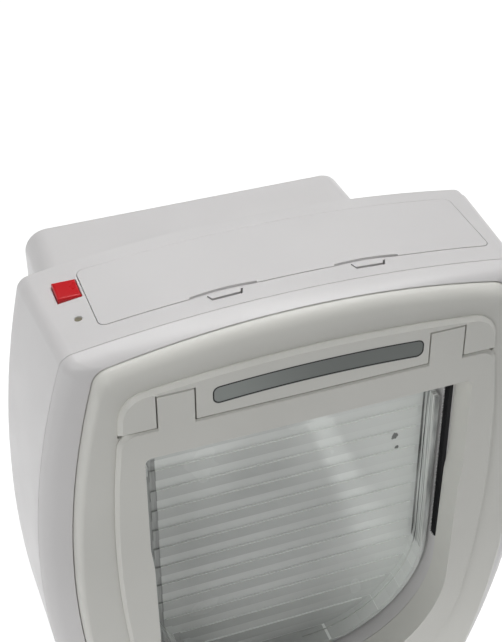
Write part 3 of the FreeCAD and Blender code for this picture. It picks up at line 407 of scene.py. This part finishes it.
def close_tree(tree, geometry, end, material):
    """Realizes the instances and sets the material, so that the result is one plain mesh."""
    real = tree.add("GeometryNodeRealizeInstances")
    paint = tree.add("GeometryNodeSetMaterial", {"Material": material})
    tree.join(geometry, real.inputs["Geometry"])
    tree.join(real.outputs["Geometry"], paint.inputs["Geometry"])
    tree.join(paint.outputs["Geometry"], end.inputs["Geometry"])


def grow(name, group, start_points, body, sides):
    """Runs a tree on a few start points and keeps the result as a plain mesh that rides on a body."""
    mesh = bpy.data.meshes.new(name + "_start")
    mesh.from_pydata([tuple(p) for p in start_points], [], [])
    mesh.attributes.new("side", "FLOAT", "POINT").data.foreach_set("value", sides)
    seed = bpy.data.objects.new(name + "_start", mesh)
    bpy.context.scene.collection.objects.link(seed)
    seed.modifiers.new("grow", "NODES").node_group = group
    graph = bpy.context.evaluated_depsgraph_get()
    result = bpy.data.meshes.new_from_object(seed.evaluated_get(graph))
    bpy.data.objects.remove(seed)
    result.name = name
    return add_object(name, result, body)


def bristle_tree(material, width, height, across, along):
    """A field of short soft bristles that stand along +X or -X, by the start point's side."""
    group, tree, start, end = start_tree("bristles", bristle_length=0.0009, bristle_radius=0.00024, seed=3)
    field = tree.add("GeometryNodeMeshGrid", {"Size X": height, "Size Y": width,
                                              "Vertices X": along, "Vertices Y": across})
    stand = tree.add("GeometryNodeTransform", {"Rotation": (0, math.radians(90), 0)})
    hair = tree.add("GeometryNodeMeshCone", {"Vertices": 5})
    plant = tree.add("GeometryNodeInstanceOnPoints")
    lean = tree.add("FunctionNodeRandomValue", data_type="FLOAT_VECTOR")
    lean.inputs[0].default_value = (-BRISTLE_LEAN, math.radians(90) - BRISTLE_LEAN, 0)
    lean.inputs[1].default_value = (BRISTLE_LEAN, math.radians(90) + BRISTLE_LEAN, 0)
    place_all = tree.add("GeometryNodeInstanceOnPoints")
    side = tree.add("GeometryNodeInputNamedAttribute", {"Name": "side"}, data_type="FLOAT")
    turn = tree.add("ShaderNodeCombineXYZ")
    tree.join(start.outputs["Bristle length"], hair.inputs["Depth"])
    tree.join(start.outputs["Bristle radius"], hair.inputs["Radius Bottom"])
    tree.join(start.outputs["Seed"], lean.inputs["Seed"])
    tree.join(field.outputs["Mesh"], stand.inputs["Geometry"])
    tree.join(stand.outputs["Geometry"], plant.inputs["Points"])
    tree.join(hair.outputs["Mesh"], plant.inputs["Instance"])
    tree.join(lean.outputs[0], plant.inputs["Rotation"])
    tree.join(plant.outputs["Instances"], place_all.inputs["Instance"])
    tree.join(start.outputs["Geometry"], place_all.inputs["Points"])
    tree.join(tree.times(side.outputs["Attribute"], math.pi), turn.inputs["Z"])
    tree.join(turn.outputs["Vector"], place_all.inputs["Rotation"])
    close_tree(tree, place_all.outputs["Instances"], end, material)
    return group


def contact_tree(material, reach):
    """A contact plate with a wound spring that stands along X, turned round Z by the start point's side."""
    group, tree, start, end = start_tree("contacts", plate_size=0.010, wire_radius=0.00035, turns=5.0)
    plate = tree.add("GeometryNodeMeshCube")
    size = tree.add("ShaderNodeCombineXYZ", {"X": CONTACT_THICK})
    coil = tree.add("GeometryNodeCurveSpiral", {"Resolution": 20, "Start Radius": SPRING_WIDE,
                                                "End Radius": SPRING_NARROW, "Height": reach})
    wire = tree.add("GeometryNodeCurvePrimitiveCircle", {"Resolution": 8})
    tube = tree.add("GeometryNodeCurveToMesh", {"Fill Caps": True})
    lay = tree.add("GeometryNodeTransform", {"Rotation": (0, math.radians(90), 0)})
    both = tree.add("GeometryNodeJoinGeometry")
    place_all = tree.add("GeometryNodeInstanceOnPoints")
    side = tree.add("GeometryNodeInputNamedAttribute", {"Name": "side"}, data_type="FLOAT")
    turn = tree.add("ShaderNodeCombineXYZ")
    tree.join(start.outputs["Plate size"], size.inputs["Y"])
    tree.join(start.outputs["Plate size"], size.inputs["Z"])
    tree.join(size.outputs["Vector"], plate.inputs["Size"])
    tree.join(start.outputs["Turns"], coil.inputs["Rotations"])
    tree.join(start.outputs["Wire radius"], wire.inputs["Radius"])
    tree.join(coil.outputs["Curve"], tube.inputs["Curve"])
    tree.join(wire.outputs["Curve"], tube.inputs["Profile Curve"])
    tree.join(tube.outputs["Mesh"], lay.inputs["Geometry"])
    tree.join(plate.outputs["Mesh"], both.inputs["Geometry"])
    tree.join(lay.outputs["Geometry"], both.inputs["Geometry"])
    tree.join(both.outputs["Geometry"], place_all.inputs["Instance"])
    tree.join(start.outputs["Geometry"], place_all.inputs["Points"])
    tree.join(tree.times(side.outputs["Attribute"], math.pi), turn.inputs["Z"])
    tree.join(turn.outputs["Vector"], place_all.inputs["Rotation"])
    close_tree(tree, place_all.outputs["Instances"], end, material)
    return group


def pill_outline(low, high, inset):
    """The label's outline in XZ, arched like the housing, as a list of points."""
    left, right = low.x + inset, high.x - inset
    half = max(abs(low.x), abs(high.x))
    height = (high.z - low.z) - (ARCH_RADIUS - math.sqrt(ARCH_RADIUS ** 2 - half ** 2))
    peak = high.z - inset
    corner = LABEL_CORNER - inset
    span = right - left - 2 * corner
    tall = height - 2 * inset
    points = []

    def arch(x, drop):
        radius = ARCH_RADIUS - inset - drop
        return peak - (ARCH_RADIUS - inset) + math.sqrt(radius ** 2 - x ** 2)

    def turn(x, drop, start):
        middle = arch(x, drop)
        for a in range(0, 91, 15):
            angle = math.radians(start - a)
            points.append((x + corner * math.cos(angle), middle + corner * math.sin(angle)))

    for i in range(ARCH_STEPS + 1):
        x = left + corner + span * i / ARCH_STEPS
        points.append((x, arch(x, 0)))
    turn(right - corner, corner, 90)
    turn(right - corner, tall - corner, 0)
    for i in range(ARCH_STEPS + 1):
        x = right - corner - span * i / ARCH_STEPS
        points.append((x, arch(x, tall)))
    turn(left + corner, tall - corner, 270)
    turn(left + corner, corner, 180)
    return points


def gap_shade_ring(name, low, high):
    """A thin closed ring of painted shade, for the shadow in the gap round the label, that follows the
    label's edge and stands a little proud of its face.
    """
    front, back = low.y - SHADE_RING_PROUD, low.y + SHADE_RING_DEEP
    outer, inner = pill_outline(low, high, 0.0), pill_outline(low, high, SHADE_RING_WIDTH)
    loops = ((outer, back), (outer, front), (inner, front), (inner, back))
    count = len(outer)
    bm = bmesh.new()
    rings = [[bm.verts.new((x, y, z)) for x, z in loop] for loop, y in loops]
    for k in range(4):
        one, two = rings[k], rings[(k + 1) % 4]
        for i in range(count):
            j = (i + 1) % count
            bm.faces.new((one[i], one[j], two[j], two[i]))
    bmesh.ops.remove_doubles(bm, verts=bm.verts, dist=0.0000001)
    bmesh.ops.recalc_face_normals(bm, faces=bm.faces)
    mesh = bpy.data.meshes.new(name)
    bm.to_mesh(mesh)
    bm.free()
    return mesh


# Settings that a user may change

class CATFLAP_finish(bpy.types.PropertyGroup):
    shell: FloatVectorProperty(name="Shell", description="Colour of the housing, tunnel", subtype="COLOR",
                               size=3, min=0, max=1, default=(0.74, 0.727, 0.725))
    # The front's beige cast is painted light: the cover and frame are the housing's plastic, tinted by the
    # light that falls on the front
    front: FloatVectorProperty(name="Front", description="Colour of the cover and frame", subtype="COLOR",
                               size=3, min=0, max=1, default=(0.75, 0.745, 0.70))
    red: FloatVectorProperty(name="Button", description="Colour of the learn button", subtype="COLOR",
                             size=3, min=0, max=1, default=(0.62, 0.006, 0.012))
    label: FloatVectorProperty(name="Label", description="Colour of the label plate", subtype="COLOR",
                               size=3, min=0, max=1, default=(0.20, 0.215, 0.205))
    clear: FloatVectorProperty(name="Flap", description="Tint of the clear flap", subtype="COLOR",
                               size=3, min=0, max=1, default=(0.97, 1.0, 0.97))
    rounding: FloatProperty(name="Edge rounding", description="Radius of the small edge breaks",
                            subtype="DISTANCE", unit="LENGTH", default=0.0004)
    front_rounding: FloatProperty(name="Front rounding", description="Radius of the front's edge breaks",
                                  subtype="DISTANCE", unit="LENGTH", default=0.0006)


class CATFLAP_stage(bpy.types.PropertyGroup):
    focal: FloatProperty(name="Focal length", description="Lens in mm on a 36 mm long side", default=78.94)
    sky: FloatProperty(name="Sky", description="Strength of the even light", default=0.05)
    key: FloatProperty(name="Key", description="Power of the large light overhead", default=12.9)
    side: FloatProperty(name="Side", description="Power of the light above to the right", default=0.7)
    near: FloatProperty(name="Near", description="Power of the small light close to the left", default=0.80)
    horizon: FloatProperty(name="Horizon", description="Strength of the band at the horizon", default=0.8)
    sweep: FloatProperty(name="Floor glow", description="How far the floor shines by itself", default=0.92)
    fade: FloatProperty(name="Floor fade", description="Glow left in front of the object", default=0.08)
    gap: FloatProperty(name="Floor gap", description="Floor below the housing", unit="LENGTH", default=0.001)


# One operator for each group of pieces

class CATFLAP_OT_shells(bpy.types.Operator):
    """Finish the housing, the tunnel, the rim and the battery lid"""
    bl_idname = "catflap.shells"
    bl_label = "Shells"

    def execute(self, context):
        look = context.scene.catflap_finish
        material = moulded_plastic("shell_plastic", look.shell, gloss=0.36)
        for node in SHELLS:
            dress(node, material)
            soften(node, look.rounding)
        return {"FINISHED"}


class CATFLAP_OT_front(bpy.types.Operator):
    """Finish the front cover and the hinged frame"""
    bl_idname = "catflap.front"
    bl_label = "Front"

    def execute(self, context):
        look = context.scene.catflap_finish
        # The housing's plastic with a beige cast of painted light
        material = moulded_plastic("front_plastic_light_tint", look.front, gloss=0.42)
        for node in FRONT:
            dress(node, material)
            soften(node, look.front_rounding, 3)
        return {"FINISHED"}


class CATFLAP_OT_label(bpy.types.Operator):
    """Finish the bare label plate, with a painted sheen towards its left, and its dark outline of painted
    shade
    """
    bl_idname = "catflap.label"
    bl_label = "Label"

    def execute(self, context):
        look = context.scene.catflap_finish
        face, tree, shader = new_material("label_face_painted_sheen")
        x, _, _ = tree.position()
        # Painted sheen: the label is lighter towards the left, where the light catches its gloss
        fade = tree.rise(x, -0.045, 0.012)
        colours = tree.tint(fade, shade(look.label, 1.62), look.label)
        tree.join(colours, shader.inputs["Base Color"])
        tree.join(tree.spread(tree.noise(300.0), 0.36, 0.44), shader.inputs["Roughness"])
        grain(tree, shader, 0.00002, 1600.0)
        dress("label_plate", face)
        soften("label_plate")
        low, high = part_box("label_plate")
        # A dark ring of painted shade round the label, for the shadow in the gap round it
        add_object("label_gap_shade", gap_shade_ring("label_gap_shade", low, high), "housing",
                   moulded_plastic("label_shade_ring_dark", (0.02, 0.02, 0.018), gloss=0.4, texture=0.00001))
        return {"FINISHED"}


class CATFLAP_OT_flap(bpy.types.Operator):
    """Finish the clear flap and its draught strips"""
    bl_idname = "catflap.flap"
    bl_label = "Flap"

    def execute(self, context):
        look = context.scene.catflap_finish
        dress("flap_panel", clear_ribbed(look.clear))
        soften("flap_panel")
        black = moulded_plastic("strip_pile", (0.012, 0.012, 0.014), gloss=0.8, texture=0.0002,
                                scale=2600.0, vary=0.3)
        starts = []
        for node in ("pile_strip_left", "pile_strip_right"):
            dress(node, black)
            low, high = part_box(node)
            inner = high.x if high.x < 0 else low.x
            starts.append((inner, (low.y + high.y) / 2, (low.z + high.z) / 2))
        size = high - low
        field = bristle_tree(black, size.y - STRIP_MARGIN_Y, size.z - STRIP_MARGIN_Z, 6, 110)
        grow("strip_bristles", field, starts, "housing", [0.0, 1.0])
        return {"FINISHED"}


class CATFLAP_OT_controls(bpy.types.Operator):
    """Finish the red button and the signal lamp"""
    bl_idname = "catflap.controls"
    bl_label = "Controls"

    def execute(self, context):
        look = context.scene.catflap_finish
        red = moulded_plastic("button_plastic", look.red, gloss=0.28, texture=0.00002, vary=0.04)
        dress("learn_button", red)
        soften("learn_button", look.rounding)
        dress("signal_lamp", moulded_plastic("lamp_plastic", (0.24, 0.22, 0.16), gloss=0.25))
        soften("signal_lamp")
        return {"FINISHED"}


class CATFLAP_OT_bay(bpy.types.Operator):
    """Finish the battery bay, the cells and their contacts"""
    bl_idname = "catflap.bay"
    bl_label = "Battery bay"

    def execute(self, context):
        dress("battery_tray", moulded_plastic("tray_plastic", (0.11, 0.11, 0.105), gloss=0.5))
        soften("battery_tray")
        wrap, tree, shader = new_material("cell_wrap")
        slow = tree.spread(tree.noise(30.0), 0.0, 1.0)
        colours = tree.tint(slow, (0.03, 0.035, 0.04), (0.05, 0.055, 0.06))
        tree.join(colours, shader.inputs["Base Color"])
        tree.join(tree.spread(tree.noise(400.0), 0.22, 0.34), shader.inputs["Roughness"])
        for node in CELLS:
            dress(node, wrap)
            soften(node)

        low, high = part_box("battery_contacts")
        starts, sides = [], []
        for left, right in (CELLS[:2], CELLS[2:]):
            for node, x, side in ((left, low.x, 0.0), (right, high.x, 1.0)):
                cell_low, cell_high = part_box(node)
                middle = (cell_low + cell_high) / 2
                end = cell_low.x if side == 0.0 else cell_high.x
                reach = abs(end - x) - SPRING_GAP
                inwards = CONTACT_THICK / 2 if side == 0.0 else -CONTACT_THICK / 2
                starts.append((x + inwards, middle.y, middle.z))
                sides.append(side)
        steel = brushed_metal("spring_steel", (0.62, 0.62, 0.6))
        springs = contact_tree(steel, reach)
        contacts = grow("contact_springs", springs, starts, "housing", sides)
        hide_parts("battery_contacts")
        return {"FINISHED"}


class CATFLAP_OT_inner(bpy.types.Operator):
    """Finish the metal pieces, the magnets, the board, the coil and the bolt"""
    bl_idname = "catflap.inner"
    bl_label = "Inner pieces"

    def execute(self, context):
        steel = brushed_metal("plain_steel", (0.62, 0.62, 0.6))
        for node in STEEL:
            dress(node, steel)
            soften(node)
        magnet = brushed_metal("magnet_black", (0.1, 0.1, 0.11), gloss=0.5)
        for node in ("flap_magnet", "sill_magnet"):
            dress(node, magnet)
            soften(node)
        green = moulded_plastic("board_resist", (0.02, 0.14, 0.05), gloss=0.3, texture=0.0001,
                                scale=500.0, vary=0.2)
        dress("circuit_board", green)
        soften("circuit_board")
        dress("antenna_coil", brushed_metal("coil_copper", (0.62, 0.28, 0.12)))
        soften("antenna_coil")
        dress("latch_bolt", moulded_plastic("bolt_plastic", (0.35, 0.35, 0.34), gloss=0.4))
        soften("latch_bolt")
        return {"FINISHED"}


class CATFLAP_OT_stage(bpy.types.Operator):
    """Make the pale floor, the lights and the camera"""
    bl_idname = "catflap.stage"
    bl_label = "Stage"

    def execute(self, context):
        stage = context.scene.catflap_stage
        scene = context.scene
        scene.view_settings.view_transform = "Standard"
        mesh = bpy.data.meshes.new("floor")
        bm = bmesh.new()
        bmesh.ops.create_grid(bm, x_segments=1, y_segments=1, size=6.0)
        bm.to_mesh(mesh)
        bm.free()
        floor = bpy.data.objects.new("floor", mesh)
        scene.collection.objects.link(floor)
        floor.location = (0, 0, START_LOW.z - stage.gap)
        material, tree, shader = new_material("floor_white")
        pale = tree.tint(tree.noise(3.0), (0.30, 0.30, 0.30), (0.31, 0.31, 0.31))
        tree.join(pale, shader.inputs["Base Color"])
        shader.inputs["Roughness"].default_value = 0.9
        shader.inputs["Emission Color"].default_value = (1, 1, 1, 1)
        x, y, _ = tree.position()
        ahead = tree.times(tree.fall(y, -0.45, -0.065), tree.rise(y, -1.3, -0.6))
        beside = tree.fall(tree.maths("ABSOLUTE", x), 0.45, 1.0)
        glow = tree.layer(tree.times(ahead, beside), stage.fade - stage.sweep, stage.sweep)
        tree.join(glow, shader.inputs["Emission Strength"])
        mesh.materials.append(material)

        world = bpy.data.worlds.new("studio")
        world.use_nodes = True
        sky = Tree(world.node_tree)
        background = world.node_tree.nodes["Background"]
        background.inputs["Color"].default_value = (0.96, 0.98, 1.0, 1.0)
        _, _, height = sky.position()
        strength = sky.rise(height, 0.05, 0.09, stage.horizon, stage.sky)
        sky.join(strength, background.inputs["Strength"])
        scene.world = world

        def area(name, at, aim, size, power):
            light = bpy.data.lights.new(name, "AREA")
            light.shape = "RECTANGLE"
            light.size, light.size_y = size
            light.energy = power
            o = bpy.data.objects.new(name, light)
            scene.collection.objects.link(o)
            o.location = at
            o.rotation_mode = "QUATERNION"
            o.rotation_quaternion = (Vector(aim) - Vector(at)).to_track_quat("-Z", "Y")

        area("key_light", (0.25, 0.25, 1.25), (0, 0, 0.05), (1.1, 0.9), stage.key)
        area("side_light", (0.70, 0.10, 1.05), (0, 0, 0.05), (0.7, 0.7), stage.side)
        area("near_light", (-0.45, -0.40, 0.40), (-0.05, -0.07, 0.05), (0.25, 0.25), stage.near)

        camera = bpy.data.cameras.new("camera")
        camera.lens = stage.focal
        camera.sensor_width = 36.0
        camera.shift_x, camera.shift_y = -0.0141, -0.0571
        camera.clip_start, camera.clip_end = 0.01, 50.0
        o = bpy.data.objects.new("camera", camera)
        scene.collection.objects.link(o)
        o.location = (-0.16381, -0.46353, 0.44100)
        o.rotation_mode = "QUATERNION"
        o.rotation_quaternion = Vector((0.2761, 0.7598, -0.5886)).to_track_quat("-Z", "Y")
        scene.camera = o
        return {"FINISHED"}


class CATFLAP_PT_panel(bpy.types.Panel):
    """Lists the steps that finish the cat flap"""
    bl_idname = "CATFLAP_PT_panel"
    bl_label = "Cat flap"
    bl_space_type = "VIEW_3D"
    bl_region_type = "UI"
    bl_category = "Cat Flap"

    def draw(self, context):
        look = context.scene.catflap_finish
        for name in ("shell", "front", "red", "label", "clear", "rounding", "front_rounding"):
            self.layout.prop(look, name)
        stage = context.scene.catflap_stage
        for name in ("focal", "sky", "key", "side", "near", "horizon", "sweep", "fade", "gap"):
            self.layout.prop(stage, name)
        for step in STEPS:
            self.layout.operator(step.bl_idname)


STEPS = (CATFLAP_OT_stage, CATFLAP_OT_shells, CATFLAP_OT_front, CATFLAP_OT_label, CATFLAP_OT_flap,
         CATFLAP_OT_controls, CATFLAP_OT_bay, CATFLAP_OT_inner)
CLASSES = (CATFLAP_finish, CATFLAP_stage, *STEPS, CATFLAP_PT_panel)


def register():
    for item in CLASSES:
        bpy.utils.register_class(item)
    bpy.types.Scene.catflap_finish = PointerProperty(type=CATFLAP_finish)
    bpy.types.Scene.catflap_stage = PointerProperty(type=CATFLAP_stage)


def unregister():
    del bpy.types.Scene.catflap_stage
    del bpy.types.Scene.catflap_finish
    for item in reversed(CLASSES):
        bpy.utils.unregister_class(item)


def main():
    register()
    for step in STEPS:
        group, name = step.bl_idname.split(".")
        getattr(getattr(bpy.ops, group), name)()


if __name__ == "__main__":
    main()
